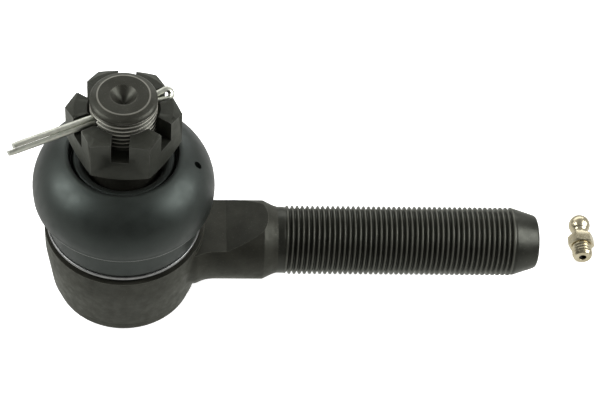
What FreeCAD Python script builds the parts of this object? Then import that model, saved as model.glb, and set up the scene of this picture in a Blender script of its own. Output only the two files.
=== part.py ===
"""Tie rod end: a ball joint with a left-hand threaded shank, its castle nut,
cotter pin, dust boot and a loose grease fitting.

Frame, in millimetres: the origin is the centre of the ball, +Z runs up the
stud and +X runs out along the shank.  The assembly stands on Z = BASE_Z.
"""
import FreeCAD, Part
import math
import os

V = FreeCAD.Vector

# Ball and socket
BALL_R = 14.0
BALL_FLAT_Z = -11.5
SEAT_GAP = 0.05
BORE_R = 18.0
BARREL_TOP_Z = 8.0
BARREL_TOP_R = 22.6
BARREL_WIDE_Z = 1.0
BARREL_LOW_R = 21.0
BARREL_LOW_Z = -13.0
CRIMP_R = 20.0
CRIMP_ROLL = 1.4
BASE_Z = -17.6
SPIGOT_R = 19.0
SPIGOT_TOP_Z = 12.5
SPIGOT_FLARE_R = 15.6
MOUTH_R = 13.6
SHOULDER_BREAK = 0.6

# Bearings, spring and end cover
UPPER_SEAT_TOP_Z = 4.3
UPPER_SEAT_LOW_Z = -1.5
LOWER_SEAT_TOP_Z = -2.3
LOWER_SEAT_LOW_Z = -12.4
LOWER_SEAT_HOLE_R = 8.0
SEAT_SLIDE_GAP = 0.06
COVER_TOP_Z = -14.9
COVER_LOW_Z = -17.0
COVER_LIP_R = 16.6
COVER_BOSS_R = 5.0
COVER_BOSS_TOP_Z = -14.2
PORT_R = 2.5
SPRING_T = 0.9
SPRING_IN_R = 7.2
SPRING_OUT_R = 15.5

# Shank
NECK_R = 11.45
NECK_END_X = 40.0
NECK_FLARE_X = 30.0
NECK_FLARE_R = 14.4
NECK_RELIEF_R = 23.4
UNDERCUT_R = 9.65
UNDERCUT_X = 44.4
SHANK_R = 10.0
SHANK_THREAD_X = 46.8
SHANK_PITCH = 1.5
SHANK_TURNS = 44
SHANK_END_X = 120.6
SHANK_TIP_R = 7.6
THREAD_DEPTH_RATIO = 0.58
THREAD_RUN_OUT = 0.3
CREST_RATIO = 0.18
ROOT_RATIO = 0.12
RELIEF_TILT_DEG = 18.7
RELIEF_END_X = 41.3
RELIEF_END_Z = 10.9
RELIEF_FLOOR_Z = 7.2

# Stud
NECK_STUD_R = 7.5
NECK_STUD_TOP_Z = 18.5
TAPER_LOW_Z = 22.5
TAPER_LOW_R = 10.5
TAPER_TOP_Z = 43.5
TAPER_TOP_R = 9.2
STUD_R = 9.0
STUD_TOP_Z = 62.0
STUD_THREAD_Z = 45.0
STUD_TURNS = 10
STUD_FACE_R = 6.95
STUD_CHAMFER = 1.3
STUD_PITCH = 1.5
CENTRE_DRILL_R = 3.6
PIN_Z = 56.2
PIN_HOLE_R = 1.85

# Castle nut
NUT_AF = 27.0
NUT_LOW_Z = 42.9
NUT_TOP_Z = 56.8
NUT_FACE_R = 13.0
NUT_TURNS = 7
NUT_TURN_DEG = -3.3
SLOT_W = 4.8
SLOT_FLOOR_Z = 50.0
NUT_CROWN_R = 13.2
NUT_CROWN_SLOPE = 0.5
THREAD_CLEARANCE = 0.06

# Cotter pin
PIN_R = 1.5
PIN_SPLIT = 0.06
PIN_AZIMUTH_DEG = NUT_TURN_DEG + 30.0
PIN_LONG_END = -33.2
PIN_SHORT_END = -31.4
EYE_CENTRE = 12.75
EYE_R = 2.2
EYE_HOLE_R = 0.6
EYE_W = 2.0
PIN_FORK_X = 8.7
FORK_GAP_X = 9.7
PIN_ROLL_DEG = -52.0

# Dust boot and its rings
RING_LOW_Z = 9.4
RING_HIGH_Z = 10.5
RING_IN_R = 21.3
RING_OUT_R = 21.95
BOOT_FOOT_Z = 8.3
BOOT_SKIRT_R = 21.3
BOOT_SKIRT_TOP_Z = 18.4
BOOT_WIDE_R = 25.2
BOOT_WIDE_Z = 23.4
BOOT_RIM_R = 16.0
BOOT_RIM_Z = 38.9
BOOT_UNDER = (24.3, 20.6)
BOOT_SHOULDER = (22.6, 33.6)
BOOT_WALL = 2.0
BOOT_LIP_R = 10.1
BOOT_LIP_OUT_R = 12.3
BOOT_LIP_Z = 36.4
BOOT_LIP_LOW_Z = 31.8
BOOT_ROOF = ((16.4, 32.6), (21.4, 30.2), (23.0, 24.2))
BOOT_GRIP_GAP = 0.02
LIP_RING_R = 12.9
LIP_RING_WIRE_R = 0.8
LIP_RING_Z = 34.3

# Grease fitting, lying loose beside the shank
HEX_AF = 7.0
FITTING_TIP = V(138.6, 4.9, BASE_Z + HEX_AF / 2)
FITTING_AZIMUTH_DEG = 86.7
FITTING_THREAD_R = 3.0
FITTING_THREAD_L = 4.3
FITTING_PITCH = 1.0
HEX_END = 7.8
HEAD_R = 3.25
HEAD_CENTRE = 12.4
FITTING_END = 15.2
FITTING_BORE_R = 1.3
FITTING_MOUTH_R = 0.75
CHECK_BALL_R = 1.0
CHECK_BALL_X = 12.6
FITTING_NECK_R = 2.3
FITTING_CRIMP_L = 0.5
FITTING_COIL_R = 0.95
FITTING_WIRE_R = 0.2
FITTING_COILS = 6


def line(a, b):
    return Part.LineSegment(a, b).toShape()


def arc(a, middle, b):
    return Part.Arc(a, middle, b).toShape()


def spin(edges, axis=V(0, 0, 1)):
    """Turn a closed outline of edges all the way round an axis at the origin."""
    face = Part.Face(Part.Wire(edges))
    return face.revolve(V(0, 0, 0), axis, 360)


def spin_points(points, axis=V(0, 0, 1)):
    """Turn a closed polygon of (radius, height) pairs into a solid.

    About Z a pair is (x, z); about X it is (z, x)."""
    if axis.x:
        corners = [V(h, 0, r) for r, h in points]
    else:
        corners = [V(r, 0, h) for r, h in points]
    return spin([line(a, b) for a, b in zip(corners, corners[1:] + corners[:1])], axis)


def thread_outline(radius, pitch, start, turns):
    """(radius, height) pairs of a row of grooves, crest to crest."""
    depth = THREAD_DEPTH_RATIO * pitch
    flank = (1 - CREST_RATIO - ROOT_RATIO) * pitch / 2
    pairs = []
    for turn in range(turns):
        crest = start + turn * pitch
        pairs.append((radius, crest))
        pairs.append((radius, crest + CREST_RATIO * pitch))
        pairs.append((radius - depth, crest + CREST_RATIO * pitch + flank))
        pairs.append((radius - depth, crest + pitch - flank))
    pairs.append((radius, start + turns * pitch))
    return pairs


def hexagon(across_flats, low, high, flat_azimuth_deg=0.0):
    """Hexagonal prism about Z with a flat facing the given azimuth."""
    corner_r = across_flats / math.sqrt(3)
    corners = []
    for k in range(6):
        angle = math.radians(flat_azimuth_deg + 30 + 60 * k)
        corners.append(V(corner_r * math.cos(angle), corner_r * math.sin(angle), low))
    wire = Part.makePolygon(corners + corners[:1])
    return Part.Face(wire).extrude(V(0, 0, high - low))


def sphere_z(radius, at_r):
    return math.sqrt(radius ** 2 - at_r ** 2)


def socket_barrel():
    """Barrel with its bore, its spigot for the boot and the rim rolled over the end cover."""
    outline = [
        (COVER_LIP_R, BASE_Z), (CRIMP_R - 0.8 * CRIMP_ROLL, BASE_Z), (CRIMP_R, BASE_Z + CRIMP_ROLL),
        (CRIMP_R, BARREL_LOW_Z - SHOULDER_BREAK), (BARREL_LOW_R, BARREL_LOW_Z),
        (BARREL_TOP_R, BARREL_WIDE_Z), (BARREL_TOP_R, BARREL_TOP_Z - SHOULDER_BREAK),
        (BARREL_TOP_R - SHOULDER_BREAK, BARREL_TOP_Z), (SPIGOT_R, BARREL_TOP_Z),
        (SPIGOT_R, SPIGOT_TOP_Z - SHOULDER_BREAK), (SPIGOT_R - SHOULDER_BREAK, SPIGOT_TOP_Z),
        (SPIGOT_FLARE_R, SPIGOT_TOP_Z), (MOUTH_R, BARREL_TOP_Z), (MOUTH_R, UPPER_SEAT_TOP_Z),
        (BORE_R, UPPER_SEAT_TOP_Z), (BORE_R, COVER_LOW_Z), (COVER_LIP_R, COVER_LOW_Z),
    ]
    return spin_points(outline)


def shank_bar():
    """Flared neck, undercut, grooved thread and tapered tip, turned about X."""
    flare = NECK_FLARE_R - NECK_R
    middle_x = (NECK_FLARE_X + BARREL_LOW_R) / 2
    outline = [(0, 0), (NECK_FLARE_R, 0), (NECK_FLARE_R, BARREL_LOW_R - 1), (NECK_R + 0.3 * flare, middle_x)]
    outline += [(NECK_R, NECK_FLARE_X), (NECK_R, NECK_END_X), (UNDERCUT_R + 0.4, UNDERCUT_X - 1.6)]
    outline += [(UNDERCUT_R, UNDERCUT_X), (UNDERCUT_R, SHANK_THREAD_X - 0.4)]
    outline += thread_outline(SHANK_R, SHANK_PITCH, SHANK_THREAD_X, SHANK_TURNS)
    thread_end = SHANK_THREAD_X + SHANK_TURNS * SHANK_PITCH
    outline += [(SHANK_R, thread_end + 0.4), (SHANK_TIP_R, SHANK_END_X), (0, SHANK_END_X)]
    return spin_points(outline, V(1, 0, 0))


def neck_relief():
    """Level floor and rising slope on top of the neck that leave room for the boot."""
    slope = Part.makeBox(40, 40, 20, V(-40, -20, 0))
    slope.rotate(V(0, 0, 0), V(0, 1, 0), -RELIEF_TILT_DEG)
    slope.translate(V(RELIEF_END_X, 0, RELIEF_END_Z))
    above_floor = Part.makeBox(80, 40, 40, V(0, -20, RELIEF_FLOOR_Z))
    return slope.common(above_floor)


def socket_housing():
    bar = shank_bar().cut(neck_relief())
    clearance = Part.makeCylinder(NECK_RELIEF_R, 20, V(0, 0, BARREL_TOP_Z))
    hollow = Part.makeCylinder(BARREL_LOW_R - 1, 40, V(0, 0, -20))
    bar = bar.cut(clearance).cut(hollow)
    return socket_barrel().fuse(bar).removeSplitter()


def upper_bearing():
    seat_r = BALL_R + SEAT_GAP
    top = V(sphere_z(seat_r, UPPER_SEAT_TOP_Z), 0, UPPER_SEAT_TOP_Z)
    low = V(sphere_z(seat_r, UPPER_SEAT_LOW_Z), 0, UPPER_SEAT_LOW_Z)
    outer_low = V(BORE_R, 0, UPPER_SEAT_LOW_Z)
    outer_top = V(BORE_R, 0, UPPER_SEAT_TOP_Z)
    return spin([line(outer_top, top), arc(top, V(seat_r, 0, 0), low), line(low, outer_low), line(outer_low, outer_top)])


def lower_bearing():
    seat_r = BALL_R + SEAT_GAP
    outer_r = BORE_R - SEAT_SLIDE_GAP
    top = V(sphere_z(seat_r, LOWER_SEAT_TOP_Z), 0, LOWER_SEAT_TOP_Z)
    low = V(LOWER_SEAT_HOLE_R, 0, -sphere_z(seat_r, LOWER_SEAT_HOLE_R))
    middle_z = (top.z + low.z) / 2
    middle = V(sphere_z(seat_r, middle_z), 0, middle_z)
    hole_low = V(LOWER_SEAT_HOLE_R, 0, LOWER_SEAT_LOW_Z)
    outer_low = V(outer_r, 0, LOWER_SEAT_LOW_Z)
    outer_top = V(outer_r, 0, LOWER_SEAT_TOP_Z)
    ring = [line(outer_top, top), arc(top, middle, low), line(low, hole_low)]
    return spin(ring + [line(hole_low, outer_low), line(outer_low, outer_top)])


def preload_spring():
    """Dished spring washer between the lower bearing and the end cover."""
    top = LOWER_SEAT_LOW_Z - 0.05
    low = COVER_TOP_Z + 0.05
    outline = [(SPRING_IN_R, top - SPRING_T), (SPRING_IN_R + 0.3, top), (SPRING_OUT_R, low + SPRING_T),
               (SPRING_OUT_R - 0.3, low)]
    return spin_points(outline)


def end_cover():
    outline = [
        (PORT_R, COVER_LOW_Z), (BORE_R, COVER_LOW_Z), (BORE_R, COVER_TOP_Z), (COVER_BOSS_R + 0.5, COVER_TOP_Z),
        (COVER_BOSS_R, COVER_BOSS_TOP_Z), (PORT_R, COVER_BOSS_TOP_Z),
    ]
    return spin_points(outline)


def pin_hole(radius):
    """Cross hole along the cotter pin's azimuth."""
    hole = Part.makeCylinder(radius, 40, V(-20, 0, PIN_Z), V(1, 0, 0))
    hole.rotate(V(0, 0, 0), V(0, 0, 1), PIN_AZIMUTH_DEG)
    return hole


def ball_stud():
    neck_z = sphere_z(BALL_R, NECK_STUD_R)
    flat_r = sphere_z(BALL_R, BALL_FLAT_Z)
    thread_end = STUD_THREAD_Z + STUD_TURNS * STUD_PITCH
    upper = [
        (0, BALL_FLAT_Z), (0, STUD_TOP_Z - CENTRE_DRILL_R), (CENTRE_DRILL_R, STUD_TOP_Z),
        (STUD_FACE_R, STUD_TOP_Z), (STUD_R, STUD_TOP_Z - STUD_CHAMFER), (STUD_R, thread_end + THREAD_RUN_OUT),
    ]
    upper += list(reversed(thread_outline(STUD_R, STUD_PITCH, STUD_THREAD_Z, STUD_TURNS)))
    upper += [(TAPER_TOP_R, TAPER_TOP_Z), (TAPER_LOW_R, TAPER_LOW_Z), (TAPER_LOW_R - 0.6, TAPER_LOW_Z - 1)]
    upper += [(NECK_STUD_R, NECK_STUD_TOP_Z), (NECK_STUD_R, neck_z)]
    corners = [V(r, 0, z) for r, z in upper]
    edges = [line(a, b) for a, b in zip(corners, corners[1:])]
    flat_edge = V(flat_r, 0, BALL_FLAT_Z)
    edges.append(arc(corners[-1], V(BALL_R, 0, 0), flat_edge))
    edges.append(line(flat_edge, corners[0]))
    return spin(edges).cut(pin_hole(PIN_HOLE_R))


def castle_nut():
    body = hexagon(NUT_AF, NUT_LOW_Z, NUT_TOP_Z, PIN_AZIMUTH_DEG)
    corner_r = NUT_AF / math.sqrt(3) + 0.1
    crown_fall = NUT_CROWN_SLOPE * (corner_r - NUT_CROWN_R)
    base_rise = math.tan(math.radians(30)) * (corner_r - NUT_FACE_R)
    turned = spin_points([
        (0, NUT_LOW_Z), (NUT_FACE_R, NUT_LOW_Z), (corner_r, NUT_LOW_Z + base_rise), (corner_r, NUT_TOP_Z - crown_fall),
        (NUT_CROWN_R, NUT_TOP_Z), (0, NUT_TOP_Z),
    ])
    body = body.common(turned)
    bore_r = STUD_R + THREAD_CLEARANCE
    bore = [(0, NUT_LOW_Z - 1), (bore_r + 0.5, NUT_LOW_Z - 1), (bore_r + 0.3, NUT_LOW_Z + 0.6)]
    bore += thread_outline(bore_r, STUD_PITCH, STUD_THREAD_Z, NUT_TURNS)
    bore += [(bore_r, NUT_TOP_Z + 1), (0, NUT_TOP_Z + 1)]
    body = body.cut(spin_points(bore))
    for k in range(3):
        slot = Part.makeBox(40, SLOT_W, 20, V(-20, -SLOT_W / 2, SLOT_FLOOR_Z))
        slot.rotate(V(0, 0, 0), V(0, 0, 1), PIN_AZIMUTH_DEG + 60 * k)
        body = body.cut(slot)
    return body


def teardrop(radius, tip_x, half_tip, width):
    """Flat plate shaped like a circle drawn out to a blunt tip, in XZ, centred on Y."""
    reach = EYE_CENTRE - tip_x
    angle = math.asin((radius - half_tip) / reach)
    tangent_x = EYE_CENTRE - radius * math.sin(angle)
    tangent_z = radius * math.cos(angle)
    tip_dx = half_tip * math.sin(angle)
    tip_dz = half_tip * math.cos(angle)
    y = -width / 2
    low_tip = V(tip_x - tip_dx, y, -tip_dz)
    high_tip = V(tip_x - tip_dx, y, tip_dz)
    low = V(tangent_x, y, -tangent_z)
    high = V(tangent_x, y, tangent_z)
    edges = [line(low_tip, low), arc(low, V(EYE_CENTRE + radius, y, 0), high), line(high, high_tip)]
    edges.append(line(high_tip, low_tip))
    return Part.Face(Part.Wire(edges)).extrude(V(0, width, 0))


def cotter_pin():
    """One bent half-round wire: two legs side by side and a loop, along X then placed."""
    legs = Part.makeCylinder(PIN_R, PIN_FORK_X - PIN_SHORT_END, V(PIN_SHORT_END, 0, 0), V(1, 0, 0))
    long_leg = Part.makeCylinder(PIN_R, PIN_FORK_X - PIN_LONG_END, V(PIN_LONG_END, 0, 0), V(1, 0, 0))
    lower_half = Part.makeBox(80, 2 * PIN_R, PIN_R, V(PIN_LONG_END, -PIN_R, -PIN_R))
    legs = legs.fuse(long_leg.common(lower_half))
    split = Part.makeBox(80, 2 * PIN_R, PIN_SPLIT, V(PIN_LONG_END - 1, -PIN_R, -PIN_SPLIT / 2))
    eye = teardrop(EYE_R, PIN_FORK_X, PIN_R - 0.2, EYE_W)
    eye_hole = teardrop(EYE_HOLE_R, FORK_GAP_X, PIN_SPLIT / 2, EYE_W + 1)
    split_end = Part.makeBox(EYE_CENTRE, 60, 60, V(EYE_CENTRE, -30, -30))
    pin = legs.fuse(eye).cut(eye_hole).cut(split.cut(split_end)).removeSplitter()
    pin.rotate(V(0, 0, 0), V(1, 0, 0), PIN_ROLL_DEG)
    pin.rotate(V(0, 0, 0), V(0, 0, 1), PIN_AZIMUTH_DEG)
    pin.translate(V(0, 0, PIN_Z))
    return pin


def dust_boot():
    """Closed rubber shell from the housing spigot up to the lip round the stud."""
    grip_r = SPIGOT_R + BOOT_GRIP_GAP
    skirt_r = BOOT_SKIRT_R - BOOT_GRIP_GAP
    outer = [V(r, 0, z) for r, z in (
        (grip_r, BOOT_FOOT_Z), (skirt_r, BOOT_FOOT_Z), (skirt_r, RING_HIGH_Z), (BOOT_SKIRT_R, BOOT_SKIRT_TOP_Z),
    )]
    wide = V(BOOT_WIDE_R, 0, BOOT_WIDE_Z)
    rim = V(BOOT_RIM_R, 0, BOOT_RIM_Z)
    mouth = [rim] + [V(r, 0, z) for r, z in (
        (BOOT_RIM_R - BOOT_WALL, BOOT_RIM_Z - 0.3 * BOOT_WALL), (BOOT_LIP_OUT_R, BOOT_LIP_Z),
        (BOOT_LIP_R, BOOT_LIP_Z - 0.2 * BOOT_WALL), (BOOT_LIP_R + 0.15, BOOT_LIP_LOW_Z), BOOT_ROOF[0],
    )]
    roof = [V(r, 0, z) for r, z in BOOT_ROOF]
    inner = [roof[2], V(SPIGOT_R + 0.3, 0, SPIGOT_TOP_Z + 1.5), V(grip_r, 0, SPIGOT_TOP_Z - 0.7), outer[0]]
    edges = [line(a, b) for a, b in zip(outer, outer[1:])]
    edges.append(arc(outer[-1], V(BOOT_UNDER[0], 0, BOOT_UNDER[1]), wide))
    edges.append(arc(wide, V(BOOT_SHOULDER[0], 0, BOOT_SHOULDER[1]), rim))
    edges += [line(a, b) for a, b in zip(mouth, mouth[1:])]
    edges.append(arc(*roof))
    edges += [line(a, b) for a, b in zip(inner, inner[1:])]
    groove = Part.makeTorus(LIP_RING_R, LIP_RING_WIRE_R + BOOT_GRIP_GAP, V(0, 0, LIP_RING_Z))
    return spin(edges).cut(groove)


def boot_lower_ring():
    outline = [(RING_IN_R, RING_LOW_Z), (RING_OUT_R, RING_LOW_Z), (RING_OUT_R, RING_HIGH_Z), (RING_IN_R, RING_HIGH_Z)]
    return spin_points(outline)


def boot_upper_ring():
    return Part.makeTorus(LIP_RING_R, LIP_RING_WIRE_R, V(0, 0, LIP_RING_Z))


def place_fitting(shape):
    """Move a shape built along X from the thread tip to where the fitting lies."""
    shape.rotate(V(0, 0, 0), V(0, 0, 1), FITTING_AZIMUTH_DEG)
    shape.translate(FITTING_TIP)
    return shape


def fitting_body():
    """Bored screw with a hexagon and a ball head, its seat for the check ball near the mouth."""
    seat_x = CHECK_BALL_X + sphere_z(CHECK_BALL_R + 0.02, FITTING_MOUTH_R)
    neck_x = HEAD_CENTRE - sphere_z(HEAD_R, FITTING_NECK_R)
    end_r = sphere_z(HEAD_R, FITTING_END - HEAD_CENTRE)
    shaft = [(FITTING_THREAD_R - 0.4, 0), (FITTING_THREAD_R, 0.4)]
    shaft += thread_outline(FITTING_THREAD_R, FITTING_PITCH, 0.6, 3)
    shaft += [(FITTING_THREAD_R - 0.5, FITTING_THREAD_L - 0.2), (FITTING_THREAD_R - 0.5, HEX_END + 0.6)]
    shaft += [(FITTING_NECK_R, HEX_END + 0.8), (FITTING_NECK_R, neck_x)]
    bore = [(FITTING_MOUTH_R, FITTING_END), (FITTING_MOUTH_R, seat_x), (FITTING_BORE_R, CHECK_BALL_X + 0.1)]
    bore += [(FITTING_BORE_R, FITTING_CRIMP_L), (FITTING_BORE_R - 0.2, FITTING_CRIMP_L), (FITTING_BORE_R - 0.2, 0)]
    outer = [V(h, 0, r) for r, h in shaft]
    inner = [V(h, 0, r) for r, h in bore]
    edges = [line(a, b) for a, b in zip(outer, outer[1:])]
    edges.append(arc(outer[-1], V(HEAD_CENTRE, 0, HEAD_R), V(FITTING_END, 0, end_r)))
    edges.append(line(V(FITTING_END, 0, end_r), inner[0]))
    edges += [line(a, b) for a, b in zip(inner, inner[1:])]
    edges.append(line(inner[-1], outer[0]))
    body = spin(edges, V(1, 0, 0))
    nut = hexagon(HEX_AF, 0, HEX_END - FITTING_THREAD_L, 0)
    nut = nut.cut(Part.makeCylinder(FITTING_THREAD_R - 1, 20, V(0, 0, -5)))
    nut.rotate(V(0, 0, 0), V(0, 1, 0), 90)
    nut.translate(V(FITTING_THREAD_L, 0, 0))
    return place_fitting(body.fuse(nut))


def fitting_check_ball():
    return place_fitting(Part.makeSphere(CHECK_BALL_R, V(CHECK_BALL_X, 0, 0)))


def fitting_spring():
    """Wire coil between the crimped end of the bore and the check ball."""
    start = FITTING_CRIMP_L + 0.05 + FITTING_WIRE_R
    length = CHECK_BALL_X - CHECK_BALL_R - 0.05 - FITTING_WIRE_R - start
    path = Part.makeHelix(length / FITTING_COILS, length, FITTING_COIL_R)
    section = Part.Wire(Part.makeCircle(FITTING_WIRE_R, V(FITTING_COIL_R, 0, 0), V(0, 1, 0)))
    coil = Part.Wire(path.Edges).makePipeShell([section], True, True)
    coil.rotate(V(0, 0, 0), V(0, 1, 0), 90)
    coil.translate(V(start, 0, 0))
    return place_fitting(coil)


MAKERS = [
    socket_housing, upper_bearing, lower_bearing, preload_spring, end_cover, ball_stud, castle_nut, cotter_pin,
    dust_boot, boot_lower_ring, boot_upper_ring, fitting_body, fitting_check_ball, fitting_spring,
]


def main():
    os.makedirs("parts", exist_ok=True)
    for maker in MAKERS:
        shape = maker()
        print(maker.__name__, shape.isValid(), len(shape.Solids), round(shape.Volume, 2))
        shape.exportStep(os.path.join("parts", maker.__name__ + ".step"))


main()
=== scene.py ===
import math

import bmesh
import bpy
from mathutils import Matrix, Vector
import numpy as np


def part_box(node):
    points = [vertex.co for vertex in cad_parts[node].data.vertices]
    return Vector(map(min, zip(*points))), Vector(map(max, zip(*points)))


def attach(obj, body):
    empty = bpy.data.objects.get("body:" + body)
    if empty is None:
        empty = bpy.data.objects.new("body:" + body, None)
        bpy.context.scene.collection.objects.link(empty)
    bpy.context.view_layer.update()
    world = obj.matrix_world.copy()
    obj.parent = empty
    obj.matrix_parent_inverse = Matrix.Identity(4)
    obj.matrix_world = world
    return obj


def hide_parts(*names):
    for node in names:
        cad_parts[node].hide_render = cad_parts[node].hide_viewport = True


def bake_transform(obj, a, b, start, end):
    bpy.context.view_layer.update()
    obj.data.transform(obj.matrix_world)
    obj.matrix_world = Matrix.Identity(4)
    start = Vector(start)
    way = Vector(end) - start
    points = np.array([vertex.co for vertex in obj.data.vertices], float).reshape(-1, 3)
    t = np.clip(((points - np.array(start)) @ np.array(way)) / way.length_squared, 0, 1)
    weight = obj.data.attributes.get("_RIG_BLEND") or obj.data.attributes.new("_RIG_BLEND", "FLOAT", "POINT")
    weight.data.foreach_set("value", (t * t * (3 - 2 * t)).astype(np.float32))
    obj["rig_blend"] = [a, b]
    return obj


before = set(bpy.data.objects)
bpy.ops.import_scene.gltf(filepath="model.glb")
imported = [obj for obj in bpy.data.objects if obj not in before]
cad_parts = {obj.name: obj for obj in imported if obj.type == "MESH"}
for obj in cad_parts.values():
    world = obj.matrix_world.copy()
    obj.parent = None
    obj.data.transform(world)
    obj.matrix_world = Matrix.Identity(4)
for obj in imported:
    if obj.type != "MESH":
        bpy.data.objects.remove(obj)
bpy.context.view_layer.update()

# The visual model of the tie rod end.  Lengths here are millimetres in the
# frame of the CAD model; MM turns them into metres when a mesh is made.
MM = 0.001


def low(node, axis):
    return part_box(node)[0][axis] / MM


def high(node, axis):
    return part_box(node)[1][axis] / MM


X, Y, Z = 0, 1, 2

# Housing and shank
BASE_Z = low("socket_housing", Z)
BARREL_R = -low("socket_housing", X)
BARREL_TOP_Z = 8.0
BARREL_WIDE_Z = 1.0
BARREL_LOW_R = 21.0
BARREL_LOW_Z = -13.0
RIM_R = 20.0
RIM_ROLL = 1.4
COVER_LIP_R = 16.6
PORT_R = 2.5
SPIGOT_R = 19.0
SPIGOT_TOP_Z = 12.5
SPIGOT_FLARE_R = 15.6
BORE_R = 18.0
MOUTH_R = 13.6
SEAT_TOP_Z = high("upper_bearing", Z)
NECK_R = 11.45
NECK_FLARE_R = 12.9
NECK_JOIN_X = 28.0
NECK_END_X = 40.0
BOOT_ROOM_R = 23.4
RELIEF_END = (41.3, 0, 10.9)
RELIEF_TILT = math.radians(20.4)
RELIEF_FLOOR_Z = 6.4
UNDERCUT_R = 9.65
UNDERCUT_X = 44.4
SHANK_R = 10.0
SHANK_THREAD_X = 46.6
SHANK_THREAD_END_X = 113.2
SHANK_END_X = high("socket_housing", X)
SHANK_TIP_R = 7.6
PITCH = 1.5
SHANK_THREAD_DEPTH = 0.9
LEFT_HAND = -1
RIGHT_HAND = 1

# Stud
BALL_R = high("ball_stud", X)
BALL_FLAT_Z = low("ball_stud", Z)
STUD_TOP_Z = high("ball_stud", Z)
STUD_R = 9.0
STUD_NECK_R = 7.5
STUD_NECK_TOP_Z = 18.5
TAPER_LOW_Z = 22.5
TAPER_LOW_R = 10.5
TAPER_TOP_Z = 43.5
TAPER_TOP_R = 9.2
STUD_FACE_R = 6.95
DRILL_R = 3.6
PIN_HOLE_R = 1.85
STUD_THREAD_DEPTH = 0.8
# Strength of the painted highlight line on the stud's face rim.
RIM_PAINTED_HIGHLIGHT = 0.87

# Nut and cotter pin
NUT_AF = 27.0
NUT_LOW_Z = low("castle_nut", Z)
NUT_TOP_Z = high("castle_nut", Z)
SLOT_W = 4.8
SLOT_FLOOR_Z = 50.0
CROWN_R = 13.2
CROWN_SLOPE = 0.5
NUT_FACE_R = 13.0
NUT_EDGE_BREAK = 0.28
PIN_AZIMUTH = math.radians(26.7)
PIN_ROLL = math.radians(-52.0)
PIN_R = 1.5
PIN_Z = (low("cotter_pin", Z) + high("cotter_pin", Z)) / 2
PIN_LONG_END = -33.2
PIN_SHORT_END = -31.4
PIN_FORK_X = 8.7
EYE_CENTRE = 12.75
EYE_HOLE_R = 0.6
EYE_WALL = 1.5
EYE_HALF_W = 1.05
WIRE_BREAK = 0.35

# Dust boot
WIDE_R = high("dust_boot", X)
DOME_CENTRE = (10.29, 25.03)
RIM_Z = high("dust_boot", Z)
FOOT_Z = low("dust_boot", Z)
MOUTH_RIM_R = 16.0
SKIRT_R = 21.3
SKIRT_TOP_Z = 18.4
SKIRT_WALL = 1.8
VENT_AZIMUTH = math.radians(-6.2)
VENT_PLACE = (20.4, 36.1)
VENT_TILT = math.radians(47.6)
LIP_Z = 34.0
# Height band and width of the painted highlight line along the dome's lower edge.
LIP_HIGHLIGHT_Z = (21.85, 22.4)
LIP_HIGHLIGHT_W = 0.5
RING_LOW_Z = low("boot_lower_ring", Z)
RING_TOP_Z = high("boot_lower_ring", Z)
RING_R = high("boot_lower_ring", X)

# Grease fitting: its thread tip and the way it points, then places along it from that tip
HEX_AF = 7.0
FITTING_TIP = Vector((138.6, 4.9, BASE_Z + HEX_AF / 2))
FITTING_AZIMUTH = math.radians(86.7)
FITTING_THREAD_R = 3.0
FITTING_THREAD_L = 4.3
FITTING_THREAD_DEPTH = 0.55
FITTING_PITCH = 1.0
HEX_END = 7.8
FITTING_NECK_R = 2.3
HEAD_CENTRE = 12.4
HEAD_R = 3.25
FITTING_END = 15.2
FITTING_BORE_R = 1.3
FITTING_MOUTH_R = 0.75
FITTING_CRIMP_R = 1.1
FITTING_CRIMP_L = 0.5


# ---------------------------------------------------------------- mesh tools

def finish_piece(name, bm, sharp_deg=35.0):
    """Turn a bmesh in millimetres into an object in metres with clean shading."""
    bmesh.ops.remove_doubles(bm, verts=bm.verts, dist=1e-4)
    bmesh.ops.dissolve_degenerate(bm, edges=bm.edges, dist=1e-5)
    bmesh.ops.recalc_face_normals(bm, faces=bm.faces)
    for face in bm.faces:
        face.smooth = True
    for edge in bm.edges:
        if len(edge.link_faces) == 2 and edge.calc_face_angle(0.0) > math.radians(sharp_deg):
            edge.smooth = False
    bmesh.ops.scale(bm, vec=(MM, MM, MM), verts=bm.verts)
    mesh = bpy.data.meshes.new(name)
    bm.to_mesh(mesh)
    bm.free()
    piece = bpy.data.objects.new(name, mesh)
    bpy.context.scene.collection.objects.link(piece)
    return piece


def rounded(corners, steps=4):
    """(r, h, cut) corners to (r, h) points, each corner rounded off over its cut."""
    points = []
    for i, (r, h, cut) in enumerate(corners):
        here = Vector((r, h))
        if not cut or i in (0, len(corners) - 1):
            points.append(here)
            continue
        before = Vector(corners[i - 1][:2]) - here
        after = Vector(corners[i + 1][:2]) - here
        first = here + before.normalized() * min(cut, 0.45 * before.length)
        last = here + after.normalized() * min(cut, 0.45 * after.length)
        for k in range(steps + 1):
            t = k / steps
            points.append(first * (1 - t) ** 2 + here * (2 * t * (1 - t)) + last * t ** 2)
    return [(p.x, p.y) for p in points]


def divided(points, longest):
    """Points with every run longer than the limit cut into equal steps."""
    result = [points[0]]
    for a, b in zip(points, points[1:]):
        count = max(1, math.ceil(math.dist(a, b) / longest))
        for k in range(1, count + 1):
            t = k / count
            result.append((a[0] + (b[0] - a[0]) * t, a[1] + (b[1] - a[1]) * t))
    return result


def arc_points(centre, radius, start_deg, end_deg, steps):
    """(r, h) points on an arc of a turned outline."""
    points = []
    for k in range(steps + 1):
        angle = math.radians(start_deg + (end_deg - start_deg) * k / steps)
        points.append((centre[0] + radius * math.cos(angle), centre[1] + radius * math.sin(angle)))
    return points


def around(r, h, angle, axis):
    if axis == X:
        return Vector((h, r * math.cos(angle), r * math.sin(angle)))
    return Vector((r * math.cos(angle), r * math.sin(angle), h))


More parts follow.
